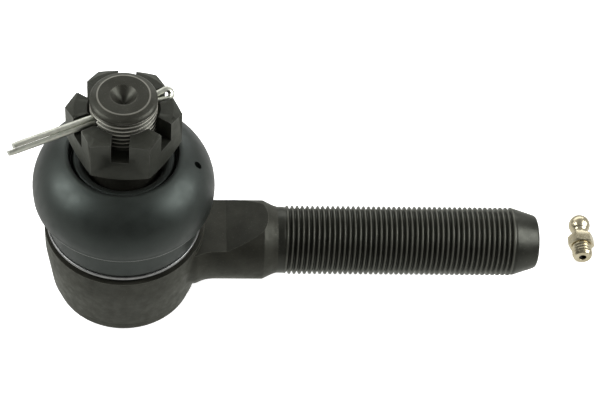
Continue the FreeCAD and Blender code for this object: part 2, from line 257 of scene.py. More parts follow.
def turn_outline(bm, outline, axis=Z, segments=192, loop=False):
    """Skin an (r, h) outline turned about an axis."""
    rings = []
    for r, h in outline:
        if r < 1e-6:
            rings.append([bm.verts.new(around(0, h, 0, axis))])
            continue
        places = [around(r, h, 2 * math.pi * k / segments, axis) for k in range(segments)]
        rings.append([bm.verts.new(place) for place in places])
    pairs = list(zip(rings, rings[1:]))
    if loop:
        pairs.append((rings[-1], rings[0]))
    for a, b in pairs:
        for k in range(segments):
            n = (k + 1) % segments
            corners = [a[k % len(a)], a[n % len(a)], b[n % len(b)], b[k % len(b)]]
            unique = list(dict.fromkeys(corners))
            if len(unique) > 2:
                bm.faces.new(unique)


def lathe(name, outline, axis=Z, segments=192, loop=False, sharp_deg=35.0):
    bm = bmesh.new()
    turn_outline(bm, outline, axis, segments, loop)
    return finish_piece(name, bm, sharp_deg)


def closed(corners, steps=4):
    """Rounded outline that comes back to its first corner, for a looped lathe."""
    return rounded(corners + corners[:1], steps)[:-1]


def plug(name, radius, low_end, high_end, axis=Z, segments=192):
    """Plain cylinder used as a cutting tool."""
    outline = [(0, low_end), (radius, low_end), (radius, high_end), (0, high_end)]
    return lathe(name, outline, axis, segments)


def prism(name, low_ring, high_ring):
    """Straight bar between two rings of corners."""
    bm = bmesh.new()
    lower = [bm.verts.new(corner) for corner in low_ring]
    upper = [bm.verts.new(corner) for corner in high_ring]
    for k in range(len(lower)):
        n = (k + 1) % len(lower)
        bm.faces.new((lower[k], lower[n], upper[n], upper[k]))
    bm.faces.new(lower)
    bm.faces.new(upper)
    return finish_piece(name, bm)


# One pitch of a thread: (share of the pitch, share of the depth)
THREAD_FORM = (
    (0.0, 0.06), (0.05, 0.0), (0.19, 0.0), (0.24, 0.06), (0.52, 0.94), (0.57, 1.0), (0.67, 1.0), (0.72, 0.94),
)


def helix_zone(bm, axis, start, end, hand, body_r, depth_at, pitch=PITCH, segments=128):
    """Skin a helical thread between two plain rings.

    body_r(h) is the crest radius and depth_at(h) the groove depth along the axis."""
    wear_and_highlight = bm.verts.layers.float.get("wear_and_highlight") or bm.verts.layers.float.new("wear_and_highlight")
    turns = math.ceil((end - start) / pitch)
    rows = [(turn, share, depth) for turn in range(-2, turns + 2) for share, depth in THREAD_FORM]
    grid = []
    for k in range(segments):
        lead = hand * pitch * k / segments
        column = []
        for turn, share, depth in rows:
            h = min(max(start + (turn + share) * pitch + lead, start), end)
            r = body_r(h) - depth * depth_at(h)
            vert = bm.verts.new(around(r, h, 2 * math.pi * k / segments, axis))
            # Crests get 1 and roots 0, so the material paints crests brighter than grooves: partly worn
            # crests, partly a painted highlight.
            vert[wear_and_highlight] = 1.0 - depth if depth_at(h) > 0.2 else 0.3
            column.append(vert)
        grid.append(column)
    per_turn = len(THREAD_FORM)
    for k in range(segments):
        here = grid[k]
        beside = grid[(k + 1) % segments]
        shift = hand * per_turn if k == segments - 1 else 0
        for i in range(len(rows) - 1):
            j = i + shift
            if 0 <= j and j + 1 < len(rows):
                bm.faces.new((here[i], here[i + 1], beside[j + 1], beside[j]))


def ramp(value, start, end):
    """0 before the start, 1 after the end, eased between them."""
    t = min(max((value - start) / (end - start), 0.0), 1.0)
    return t * t * (3 - 2 * t)


def thread_band(place, start, full, fading, end):
    """1 where a thread has its full depth, easing to 0 at both of its ends."""
    return ramp(place, start, full) * (1 - ramp(place, fading, end))


def baked(piece):
    """Apply a piece's modifiers."""
    bpy.context.view_layer.update()
    graph = bpy.context.evaluated_depsgraph_get()
    mesh = bpy.data.meshes.new_from_object(piece.evaluated_get(graph), depsgraph=graph)
    piece.modifiers.clear()
    old = piece.data
    piece.data = mesh
    bpy.data.meshes.remove(old)
    return piece


def carve(piece, tool, operation="DIFFERENCE"):
    """Boolean one piece with another and discard the tool."""
    step = piece.modifiers.new("carve", "BOOLEAN")
    step.operation = operation
    step.solver = "EXACT"
    step.object = tool
    baked(piece)
    bpy.data.objects.remove(tool)
    return piece


def block(name, size, centre, turn=Matrix.Identity(4)):
    """Box used as a cutting tool."""
    bm = bmesh.new()
    bmesh.ops.create_cube(bm, size=1.0)
    bmesh.ops.scale(bm, vec=size, verts=bm.verts)
    bmesh.ops.translate(bm, vec=centre, verts=bm.verts)
    bmesh.ops.transform(bm, matrix=turn, verts=bm.verts)
    return finish_piece(name, bm)


def shade_by_angle(piece, degrees):
    """Smooth faces with sharp edges above an angle, on a finished mesh."""
    bm = bmesh.new()
    bm.from_mesh(piece.data)
    for face in bm.faces:
        face.smooth = True
    for edge in bm.edges:
        sharp = len(edge.link_faces) == 2 and edge.calc_face_angle(0.0) > math.radians(degrees)
        edge.smooth = not sharp
    bm.to_mesh(piece.data)
    bm.free()


def soften_edges(piece, width, segments, angle_deg):
    """Bevel every edge above an angle by a width in millimetres."""
    soften = piece.modifiers.new("soften", "BEVEL")
    soften.width = width * MM
    soften.segments = segments
    soften.limit_method = "ANGLE"
    soften.angle_limit = math.radians(angle_deg)
    baked(piece)


# ---------------------------------------------------------------- materials

class Finish:
    """Node material whose colour, roughness and relief come from object-space noise."""

    def __init__(self, name, rough, metallic=0.0, specular=0.5):
        self.material = bpy.data.materials.new(name)
        self.material.use_nodes = True
        self.nodes = self.material.node_tree.nodes
        self.links = self.material.node_tree.links
        self.shader = self.nodes["Principled BSDF"]
        self.shader.inputs["Metallic"].default_value = metallic
        self.shader.inputs["Roughness"].default_value = rough
        self.shader.inputs["Specular IOR Level"].default_value = specular
        self.place = self.nodes.new("ShaderNodeTexCoord").outputs["Object"]
        self.color = None
        self.normal = None

    def noise(self, scale, detail=4.0, stretch=(1, 1, 1), roughness=0.55):
        mapping = self.nodes.new("ShaderNodeMapping")
        mapping.inputs["Scale"].default_value = stretch
        texture = self.nodes.new("ShaderNodeTexNoise")
        texture.inputs["Scale"].default_value = scale
        texture.inputs["Detail"].default_value = detail
        texture.inputs["Roughness"].default_value = roughness
        self.links.new(self.place, mapping.inputs["Vector"])
        self.links.new(mapping.outputs["Vector"], texture.inputs["Vector"])
        return texture.outputs["Fac"]

    def spread(self, value, low_in, high_in, low_out=0.0, high_out=1.0):
        node = self.nodes.new("ShaderNodeMapRange")
        node.inputs["From Min"].default_value = low_in
        node.inputs["From Max"].default_value = high_in
        node.inputs["To Min"].default_value = low_out
        node.inputs["To Max"].default_value = high_out
        self.links.new(value, node.inputs["Value"])
        return node.outputs["Result"]

    def blend_color(self, factor, second, first=None):
        """Mix a second colour over what is there, by a factor output."""
        node = self.nodes.new("ShaderNodeMix")
        node.data_type = "RGBA"
        if first is not None:
            node.inputs["A"].default_value = (*first, 1)
        else:
            self.links.new(self.color, node.inputs["A"])
        node.inputs["B"].default_value = (*second, 1)
        self.links.new(factor, node.inputs["Factor"])
        self.color = node.outputs["Result"]

    def relief(self, value, strength, distance):
        node = self.nodes.new("ShaderNodeBump")
        node.inputs["Strength"].default_value = strength
        node.inputs["Distance"].default_value = distance
        self.links.new(value, node.inputs["Height"])
        if self.normal:
            self.links.new(self.normal, node.inputs["Normal"])
        self.normal = node.outputs["Normal"]

    def edges(self, radius, sharpness=6.0):
        """0 on flats to 1 on edges, from the difference a rounded edge would make."""
        bevel = self.nodes.new("ShaderNodeBevel")
        bevel.samples = 6
        bevel.inputs["Radius"].default_value = radius
        geometry = self.nodes.new("ShaderNodeNewGeometry")
        dot = self.nodes.new("ShaderNodeVectorMath")
        dot.operation = "DOT_PRODUCT"
        self.links.new(bevel.outputs["Normal"], dot.inputs[0])
        self.links.new(geometry.outputs["Normal"], dot.inputs[1])
        return self.spread(dot.outputs["Value"], 1.0, 1.0 - 1.0 / sharpness)

    def attribute(self, name):
        node = self.nodes.new("ShaderNodeAttribute")
        node.attribute_name = name
        return node.outputs["Fac"]

    def roughness(self, value):
        self.links.new(value, self.shader.inputs["Roughness"])

    def done(self):
        if self.color:
            self.links.new(self.color, self.shader.inputs["Base Color"])
        if self.normal:
            self.links.new(self.normal, self.shader.inputs["Normal"])
        return self.material


def phosphate(name, dark, light, rough=(0.42, 0.6), edge=(0.16, 0.16, 0.15), grain=0.00004, wear_and_highlight=False,
              specks=0.35, sharpness=14.0):
    """Dark phosphate or oxide on steel: mottled, finely grained, and brighter on its edges, partly where worn
    and partly as a painted highlight.
    """
    finish = Finish(name, rough[0], metallic=0.35, specular=0.5)
    finish.shader.inputs["Specular Tint"].default_value = (0.96, 1.0, 0.88, 1)
    finish.blend_color(finish.spread(finish.noise(160, 5), 0.35, 0.68), light, first=dark)
    speck = finish.spread(finish.noise(2600, 2), 0.62, 0.72, 0.0, specks)
    finish.blend_color(speck, edge)
    # Painted highlight on edges: the bevel mask mixes the brighter edge colour along every edge, standing
    # partly for worn edges.
    finish.blend_color(finish.spread(finish.edges(0.00035, sharpness), 0.1, 1.0, 0.0, 0.7), edge)
    if wear_and_highlight:
        # Brighter colour where the vertex attribute is high, on thread crests and the stud's face rim: partly
        # worn metal, partly a painted highlight.
        finish.blend_color(finish.spread(finish.attribute("wear_and_highlight"), 0.75, 1.0, 0.0, 0.8), edge)
    finish.roughness(finish.spread(finish.noise(420, 4), 0.3, 0.7, *rough))
    finish.relief(finish.noise(1900, 3), 0.35, grain)
    finish.relief(finish.noise(240, 3), 0.25, grain * 4)
    return finish.done()


def bright_metal(name, color, shade, rough=(0.2, 0.34), stretch=(1, 1, 1)):
    """Plated or ground steel with fine lines along its working direction."""
    finish = Finish(name, rough[0], metallic=1.0)
    finish.blend_color(finish.spread(finish.noise(500, 4), 0.35, 0.7), shade, first=color)
    lines = finish.noise(3000, 3, stretch)
    finish.roughness(finish.spread(lines, 0.3, 0.7, *rough))
    finish.relief(lines, 0.2, 0.00002)
    return finish.done()


def rubber(name):
    """Moulded satin rubber with a faint bloom, a fine orange-peel skin and a painted highlight line on the
    dome's lower edge.
    """
    finish = Finish(name, 0.4, specular=0.5)
    finish.shader.inputs["Specular Tint"].default_value = (0.86, 1.0, 0.93, 1)
    bloom = finish.spread(finish.noise(90, 5), 0.4, 0.75)
    finish.blend_color(bloom, (0.016, 0.018, 0.016), first=(0.0085, 0.0098, 0.0088))
    # Painted highlight: a light grey line where the dome's attribute marks its lower edge.
    lip_painted_highlight = finish.spread(finish.attribute("wear_and_highlight"), 0.3, 1.0, 0.0, 0.8)
    finish.blend_color(lip_painted_highlight, (0.2, 0.21, 0.19))
    speck = finish.spread(finish.noise(3200, 2), 0.64, 0.74, 0.0, 0.25)
    finish.blend_color(speck, (0.045, 0.048, 0.045))
    finish.roughness(finish.spread(finish.noise(260, 4), 0.3, 0.7, 0.36, 0.5))
    finish.relief(finish.noise(1400, 3), 0.22, 0.00004)
    finish.relief(finish.noise(60, 2), 0.15, 0.0003)
    return finish.done()


FORGED = phosphate("forged_phosphate", (0.017, 0.0165, 0.0125), (0.03, 0.029, 0.023),
                   edge=(0.09, 0.09, 0.075))
THREADED = phosphate("turned_phosphate", (0.012, 0.012, 0.0095), (0.022, 0.022, 0.018),
                     rough=(0.3, 0.45), edge=(0.1, 0.1, 0.085), grain=0.00002, wear_and_highlight=True, sharpness=6.0)
# The stud's bright edge colour paints highlights on its thread crests, edges and face rim, and stands partly
# for worn metal.
STUD = phosphate("stud_phosphate", (0.02, 0.0195, 0.015), (0.034, 0.033, 0.027), rough=(0.36, 0.5),
                 edge=(0.42, 0.41, 0.36), grain=0.00002, wear_and_highlight=True, specks=0.08, sharpness=22.0)
NUT = phosphate("nut_black_oxide", (0.022, 0.0225, 0.018), (0.034, 0.035, 0.029), rough=(0.34, 0.48),
                edge=(0.07, 0.07, 0.065), grain=0.00002)
COVER = phosphate("cover_phosphate", (0.017, 0.0165, 0.0125), (0.03, 0.029, 0.023))
RUBBER = rubber("moulded_rubber")
PIN_WIRE = bright_metal("zinc_wire", (0.58, 0.59, 0.52), (0.45, 0.46, 0.4),
                        rough=(0.34, 0.48), stretch=(0.2, 0.2, 2))
RING_STEEL = bright_metal("ring_steel", (0.28, 0.285, 0.28), (0.2, 0.2, 0.2),
                          rough=(0.3, 0.42), stretch=(1, 1, 6))
BEARING = bright_metal("bearing_steel", (0.5, 0.5, 0.5), (0.38, 0.37, 0.35), stretch=(1, 1, 5))
SPRING = bright_metal("spring_steel", (0.26, 0.26, 0.28), (0.16, 0.15, 0.15))
ZINC = bright_metal("yellow_zinc", (0.66, 0.6, 0.44), (0.5, 0.44, 0.3), rough=(0.2, 0.36))


def dress(piece, body, material, slot, *nodes):
    """Give a piece its material and its body, and hide the CAD nodes that it stands for; the slot argument is
    not used.
    """
    piece.data.materials.clear()
    piece.data.materials.append(material)
    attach(piece, body)
    if nodes:
        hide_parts(*nodes)
    return piece


# ------------------------------------------------------------------ housing

def relief_tool():
    """Level floor and rising slope cut into the neck, kept clear of the barrel."""
    turn = Matrix.Translation(RELIEF_END) @ Matrix.Rotation(-RELIEF_TILT, 4, "Y")
    slope = block("slope", (40, 40, 20), (-20, 0, 10), turn)
    carve(slope, block("floor", (80, 44, 20), (40, 0, RELIEF_FLOOR_Z + 10)), "INTERSECT")
    return carve(slope, plug("barrel_kept", BARREL_R + 0.3, -30, 30, segments=256))


def neck_end():
    """Turned outer half of the neck with a crisp shoulder and its chamfer."""
    start = NECK_JOIN_X - 0.5
    outline = rounded([
        (0, start, 0), (NECK_R, start, 0), (NECK_R, NECK_END_X, 0.15),
        (UNDERCUT_R + 0.4, UNDERCUT_X - 1.6, 0.5), (UNDERCUT_R - 0.1, UNDERCUT_X, 0), (0, UNDERCUT_X, 0),
    ])
    return lathe("neck_end", outline, axis=X, segments=256)


def forging_blank():
    """Barrel and root of the neck, left over-long and melted together into soft fillets."""
    barrel = rounded([
        (0, BARREL_LOW_Z - 3, 0), (BARREL_LOW_R - 0.2, BARREL_LOW_Z - 3, 0),
        (BARREL_LOW_R, BARREL_LOW_Z, 0), (BARREL_R, BARREL_WIDE_Z, 2.0),
        (BARREL_R, BARREL_TOP_Z + 3, 0), (0, BARREL_TOP_Z + 3, 0),
    ])
    body = lathe("housing_forging", barrel, segments=256)
    neck = rounded([
        (0, 4, 0), (NECK_FLARE_R, 4, 0), (NECK_FLARE_R, 20.6, 0),
        (NECK_R, 23.8, 2.5), (NECK_R, 36, 0), (0, 36, 0),
    ])
    carve(body, lathe("neck_root", neck, axis=X, segments=256), "UNION")
    remesh = body.modifiers.new("remesh", "REMESH")
    remesh.mode = "VOXEL"
    remesh.voxel_size = 0.4 * MM
    remesh.use_smooth_shade = True
    smooth = body.modifiers.new("smooth", "SMOOTH")
    smooth.factor = 0.5
    smooth.iterations = 9
    return baked(body)


def forging():
    """Forging machined flat above and below, joined to its turned neck, relieved and bored."""
    body = forging_blank()
    carve(body, block("past_the_root", (40, 60, 60), (NECK_JOIN_X + 20, 0, 0)))
    carve(body, plug("under_side", 50, -40, BARREL_LOW_Z, segments=96))
    carve(body, plug("boot_room", BOOT_ROOM_R, BARREL_TOP_Z, 30))
    carve(body, neck_end(), "UNION")
    carve(body, relief_tool())
    bore = [
        (0, -30), (BORE_R, -30), (BORE_R, SEAT_TOP_Z), (MOUTH_R, SEAT_TOP_Z),
        (MOUTH_R, BARREL_TOP_Z + 4), (0, BARREL_TOP_Z + 4),
    ]
    carve(body, lathe("bore", bore, segments=128))
    shade_by_angle(body, 18)
    return body


def rim():
    """Thin wall under the barrel, rolled in over the end cover."""
    top = BARREL_LOW_Z + 0.5
    outline = closed([
        (BORE_R, top, 0), (RIM_R, top, 0), (RIM_R, BASE_Z, RIM_ROLL), (COVER_LIP_R, BASE_Z, 0.3),
        (COVER_LIP_R, BASE_Z + 0.6, 0.1), (BORE_R, BASE_Z + 0.6, 0.1),
    ], steps=6)
    return lathe("housing_rim", outline, loop=True, sharp_deg=50)


def spigot():
    """Raised collar that the boot's skirt fits over."""
    outline = closed([
        (MOUTH_R, SEAT_TOP_Z + 0.4, 0), (SPIGOT_R, BARREL_TOP_Z - 1.5, 0), (SPIGOT_R, SPIGOT_TOP_Z, 0.6),
        (SPIGOT_FLARE_R, SPIGOT_TOP_Z, 0.5), (MOUTH_R, BARREL_TOP_Z, 0.8),
    ])
    return lathe("housing_spigot", outline, loop=True, sharp_deg=50)


def shank_crest_r(x):
    """Crest radius along the shank: undercut, full thread, then the tapered tip."""
    full = UNDERCUT_R + (SHANK_R - UNDERCUT_R) * ramp(x, SHANK_THREAD_X - 0.6, SHANK_THREAD_X + 0.5)
    fall = (SHANK_R - SHANK_TIP_R) / (SHANK_END_X - SHANK_THREAD_END_X)
    return min(full, SHANK_R - max(0.0, x - SHANK_THREAD_END_X) * fall)


def shank_depth(x):
    return SHANK_THREAD_DEPTH * thread_band(
        x, SHANK_THREAD_X - 0.8, SHANK_THREAD_X + 1.0, SHANK_THREAD_END_X - 1.2, SHANK_THREAD_END_X + 0.6)


def shank():
    """Undercut, left-hand helical thread and tapered tip."""
    bm = bmesh.new()
    start = SHANK_THREAD_X - 1.0
    end = SHANK_THREAD_END_X + 0.8
    helix_zone(bm, X, start, end, LEFT_HAND, shank_crest_r, shank_depth)
    inside = UNDERCUT_X - 2.4
    turn_outline(bm, [(0, inside), (UNDERCUT_R, inside), (UNDERCUT_R, start)], X, 128)
    tip = rounded([
        (shank_crest_r(end), end, 0), (SHANK_TIP_R, SHANK_END_X, 0.8),
        (SHANK_TIP_R - 2.5, SHANK_END_X, 0), (0, SHANK_END_X, 0),
    ])
    turn_outline(bm, tip, X, 128)
    return finish_piece("threaded_shank", bm, 60)


# --------------------------------------------------------------------- stud

def stud_depth(z):
    return STUD_THREAD_DEPTH * thread_band(
        z, TAPER_TOP_Z + 0.4, TAPER_TOP_Z + 2.2, STUD_TOP_Z - 3.0, STUD_TOP_Z - 1.9)


def stud():
    """Ball, neck, taper and right-hand thread with a centre-drilled end."""
    bm = bmesh.new()
    start = TAPER_TOP_Z + 0.3
    end = STUD_TOP_Z - 1.7
    helix_zone(bm, Z, start, end, RIGHT_HAND, lambda z: STUD_R, stud_depth)
    flat_deg = math.degrees(math.asin(BALL_FLAT_Z / BALL_R))
    neck_deg = math.degrees(math.acos(STUD_NECK_R / BALL_R))
    lower = [(0, BALL_FLAT_Z)] + arc_points((0, 0), BALL_R, flat_deg, neck_deg, 48)
    lower += rounded([
        (STUD_NECK_R, BALL_R * math.sin(math.radians(neck_deg)) + 0.3, 0),
        (STUD_NECK_R, STUD_NECK_TOP_Z, 0.8), (TAPER_LOW_R - 0.6, TAPER_LOW_Z - 1, 0.8),
        (TAPER_LOW_R, TAPER_LOW_Z, 0.4), (TAPER_TOP_R, TAPER_TOP_Z, 0.2), (STUD_R, start, 0),
    ])
    turn_outline(bm, divided(lower, 2.5), Z, 128)
    top = rounded([
        (STUD_R, end, 0), (STUD_R, STUD_TOP_Z - 1.3, 0.3), (STUD_R - 0.5, STUD_TOP_Z - 0.7, 0.3),
        (STUD_FACE_R, STUD_TOP_Z, 0.16), (STUD_FACE_R - 0.5, STUD_TOP_Z, 0), (DRILL_R, STUD_TOP_Z, 0.2),
        (0.3, STUD_TOP_Z - DRILL_R, 0.3), (0, STUD_TOP_Z - DRILL_R, 0),
    ])
    turn_outline(bm, top, Z, 128)
    # Painted highlight: a thin ring of vertices on the face rim gets a high attribute value, so the material
    # paints a bright edge line there.
    wear_and_highlight = bm.verts.layers.float["wear_and_highlight"]
    for vert in bm.verts:
        from_edge = abs(math.hypot(vert.co.x, vert.co.y) - STUD_FACE_R)
        if vert.co.z > STUD_TOP_Z - 0.2 and from_edge < 0.2:
            vert[wear_and_highlight] = RIM_PAINTED_HIGHLIGHT
    piece = finish_piece("ball_stud_body", bm, 60)
    hole = plug("pin_hole", PIN_HOLE_R, -20, 20, X, 48)
    hole.data.transform(Matrix.Translation((0, 0, PIN_Z * MM)) @ Matrix.Rotation(PIN_AZIMUTH, 4, "Z"))
    carve(piece, hole)
    shade_by_angle(piece, 60)
    return piece


# ------------------------------------------------------------ nut and cotter

def castle_nut():
    """Hexagon with chamfered corners, bored, and slotted at the middle of its flats."""
    corner_r = NUT_AF / math.sqrt(3)
    angles = [PIN_AZIMUTH + math.radians(30 + 60 * k) for k in range(6)]
    low_ring = [around(corner_r, NUT_LOW_Z - 1, angle, Z) for angle in angles]
    high_ring = [around(corner_r, NUT_TOP_Z + 1, angle, Z) for angle in angles]
    nut = prism("castle_nut_body", low_ring, high_ring)
    wide = corner_r + 0.2
    base_rise = math.tan(math.radians(30)) * (wide - NUT_FACE_R)
    crown_fall = CROWN_SLOPE * (wide - CROWN_R)
    turned = [
        (0, NUT_LOW_Z), (NUT_FACE_R, NUT_LOW_Z), (wide, NUT_LOW_Z + base_rise),
        (wide, NUT_TOP_Z - crown_fall), (CROWN_R, NUT_TOP_Z), (0, NUT_TOP_Z),
    ]
    carve(nut, lathe("crown", turned, segments=144), "INTERSECT")
    bore_r = STUD_R + 0.06
    bore = [
        (0, NUT_LOW_Z - 1), (bore_r + 1.2, NUT_LOW_Z - 1), (bore_r, NUT_LOW_Z + 1.0),
        (bore_r, NUT_TOP_Z - 0.8), (bore_r + 1.0, NUT_TOP_Z + 0.3), (0, NUT_TOP_Z + 0.3),
    ]
    carve(nut, lathe("nut_bore", bore, segments=144))
    for k in range(3):
        slot_turn = Matrix.Rotation(PIN_AZIMUTH + math.radians(60 * k), 4, "Z")
        carve(nut, block("slot", (60, SLOT_W, 20), (0, 0, SLOT_FLOOR_Z + 10), slot_turn))
    soften_edges(nut, NUT_EDGE_BREAK, 3, 22)
    shade_by_angle(nut, 30)
    return nut


def cotter_path():
    """Flat side of the half-round wire: long leg, round the eye, back along the short leg.

    Gives (place along the pin, height across it, outward direction, wire thickness, half width)."""
    gap = 0.04
    reach = EYE_CENTRE - PIN_FORK_X - 1.0
    tangent = math.asin(EYE_HOLE_R / reach)
    sweep = math.pi + 2 * tangent
    path = []
    for k in range(27):
        x = PIN_LONG_END + (PIN_FORK_X - PIN_LONG_END) * k / 26
        path.append((x, -gap, -math.pi / 2, PIN_R, PIN_R))
    for k in range(41):
        angle = -math.pi / 2 - tangent + sweep * k / 40
        x = EYE_CENTRE + EYE_HOLE_R * math.cos(angle)
        path.append((x, EYE_HOLE_R * math.sin(angle), angle, EYE_WALL, EYE_HALF_W))
    for k in range(27):
        x = PIN_FORK_X + (PIN_SHORT_END - PIN_FORK_X) * k / 26
        path.append((x, gap, math.pi / 2, PIN_R, PIN_R))
    return path


def cotter_pin():
    """Half-round wire doubled on itself, with an eye and two straight legs."""
    bm = bmesh.new()
    rings = []
    path = cotter_path()
    angles = [math.radians(13 + 154 * k / 12) for k in range(13)]
    for i, (x, w, out, thick, half) in enumerate(path):
        ring = []
        inset = 0.1 if i in (0, len(path) - 1) else 0.0
        section = [((half - inset) * math.cos(a), (thick - inset) * math.sin(a)) for a in angles]
        section = [(half - WIRE_BREAK, 0.0)] + section + [(WIRE_BREAK - half, 0.0)]
        for across, rise in section:
            ring.append(bm.verts.new((x + rise * math.cos(out), across, w + rise * math.sin(out))))
        rings.append(ring)
    for a, b in zip(rings, rings[1:]):
        for k in range(len(a)):
            n = (k + 1) % len(a)
            bm.faces.new((a[k], a[n], b[n], b[k]))
    bm.faces.new(rings[0])
    bm.faces.new(rings[-1])
    aim = Matrix.Rotation(PIN_AZIMUTH, 4, "Z") @ Matrix.Rotation(PIN_ROLL, 4, "X")
    turn = Matrix.Translation((0, 0, PIN_Z)) @ aim
    bmesh.ops.transform(bm, matrix=turn, verts=bm.verts)
    return finish_piece("cotter_pin_wire", bm, 40)


# --------------------------------------------------------------------- boot

def vent_tool():
    """Blind oval hole square to the dome's skin."""
    tool = lathe("vent", [(0, -1.5), (0.75, -1.5), (1.0, -1.0), (1.15, 3), (0, 3)], axis=X, segments=48)
    place = Matrix.Translation((VENT_PLACE[0] * MM, 0, VENT_PLACE[1] * MM))
    tilt = Matrix.Rotation(-VENT_TILT, 4, "Y")
    oval = Matrix.Diagonal((1, 0.95, 1.25, 1))
    tool.data.transform(Matrix.Rotation(VENT_AZIMUTH, 4, "Z") @ place @ tilt @ oval)
    return tool


def boot_skirt():
    """Lower part of the boot, from the housing up to the waist under the dome."""
    grip_r = SPIGOT_R + 0.05
    outline = rounded([
        (SKIRT_R - 0.7, FOOT_Z, 0), (SKIRT_R, FOOT_Z, 0.2), (SKIRT_R, RING_LOW_Z - 0.1, 0.1),
        (SKIRT_R - 0.05, RING_LOW_Z, 0.1), (SKIRT_R - 0.05, RING_TOP_Z, 0.1),
        (SKIRT_R + 0.25, RING_TOP_Z + 0.2, 0.3), (SKIRT_R + 0.2, RING_TOP_Z + 2.5, 1.0),
        (SKIRT_R, SKIRT_TOP_Z, 0), (SKIRT_R - SKIRT_WALL, SKIRT_TOP_Z, 0),
        (SPIGOT_R + 0.3, SPIGOT_TOP_Z + 1, 0), (grip_r, SPIGOT_TOP_Z - 1, 0), (grip_r, FOOT_Z, 0),
        (SKIRT_R - 0.7, FOOT_Z, 0),
    ])
    return lathe("boot_skirt", divided(outline, 0.8)[:-1], segments=224, loop=True, sharp_deg=70)


def boot_dome():
    """Dome, rolled mouth and the lip that hugs the stud."""
    outside = [(SKIRT_R, SKIRT_TOP_Z), (SKIRT_R + 0.15, SKIRT_TOP_Z + 0.6)]
    outside += rounded([
        (SKIRT_R + 0.25, SKIRT_TOP_Z + 0.8, 0), (SKIRT_R + 0.7, SKIRT_TOP_Z + 1.2, 0.4),
        (WIDE_R - 0.25, 22.0, 0.2), (WIDE_R - 0.12, 22.5, 0),
    ])
    outside += arc_points(DOME_CENTRE, WIDE_R - DOME_CENTRE[0], -7, 62, 40)
    mouth = rounded([
        (outside[-1][0], outside[-1][1], 0), (MOUTH_RIM_R, RIM_Z, 0.5), (MOUTH_RIM_R - 0.9, RIM_Z - 0.2, 0.4),
        (MOUTH_RIM_R - 1.2, RIM_Z - 3.4, 0.6), (14.5, RIM_Z - 3.6, 0.2), (13.9, RIM_Z - 1.6, 1.6),
        (11.9, RIM_Z - 2.2, 1.8), (10.5, RIM_Z - 5.2, 0.5), (10.1, RIM_Z - 6.6, 0.4), (10.3, 31.6, 0.3),
        (16.4, 32.2, 0),
    ], steps=6)
    inside = arc_points((10.9, 23.9), 12.1, 45, 2, 14)
    closing = [(19.6, SKIRT_TOP_Z + 0.8), (SKIRT_R - SKIRT_WALL, SKIRT_TOP_Z)]
    outline = divided(outside + mouth[1:] + inside + closing, 0.7)
    piece = lathe("boot_dome", outline, segments=256, loop=True, sharp_deg=80)
    carve(piece, vent_tool())
    shade_by_angle(piece, 50)
    # Painted highlight: vertices in a thin band at the dome's widest edge get 1, and the rubber paints a
    # bright line there.
    wear_and_highlight = piece.data.attributes.new("wear_and_highlight", "FLOAT", "POINT")
    for vert in piece.data.vertices:
        place = vert.co / MM
        if LIP_HIGHLIGHT_Z[0] < place.z < LIP_HIGHLIGHT_Z[1] and math.hypot(place.x, place.y) > WIDE_R - LIP_HIGHLIGHT_W:
            wear_and_highlight.data[vert.index].value = 1.0
    return piece


def lower_ring():
    """Steel band round the foot of the skirt."""
    outline = closed([
        (SKIRT_R, RING_LOW_Z, 0), (RING_R, RING_LOW_Z, 0.25), (RING_R, RING_TOP_Z, 0.25),
        (SKIRT_R, RING_TOP_Z, 0.1),
    ])
    return lathe("boot_clamp_ring", outline, segments=224, loop=True)


# ------------------------------------------------------------ end cover

def end_cover():
    """Pressed disc with a shallow dish and the bored grease port."""
    bottom = BASE_Z + 0.6
    top = high("end_cover", Z)
    edge_r = BORE_R - 0.02
    outline = closed([
        (PORT_R, bottom + 0.5, 0), (PORT_R + 0.6, bottom + 0.1, 0.2), (5.6, bottom + 0.1, 0.4),
        (6.4, bottom + 0.6, 0.5), (13.0, bottom + 0.6, 0.8), (14.2, bottom, 0.6), (edge_r, bottom, 0.1),
        (edge_r, top - 0.7, 0.3), (5.6, top - 0.7, 0.4), (5.0, top, 0.3), (PORT_R, top, 0.2),
    ])
    return lathe("end_cover_disc", outline, loop=True, sharp_deg=50)


# ------------------------------------------------------------ grease fitting

def fitting_turn():
    return Matrix.Translation(FITTING_TIP * MM) @ Matrix.Rotation(FITTING_AZIMUTH, 4, "Z")


def fitting_crest_r(x):
    return FITTING_THREAD_R - 0.3 * (1 - ramp(x, 0.35, 0.9))


def fitting_depth(x):
    return FITTING_THREAD_DEPTH * thread_band(x, 0.4, 1.0, 3.3, 3.8)


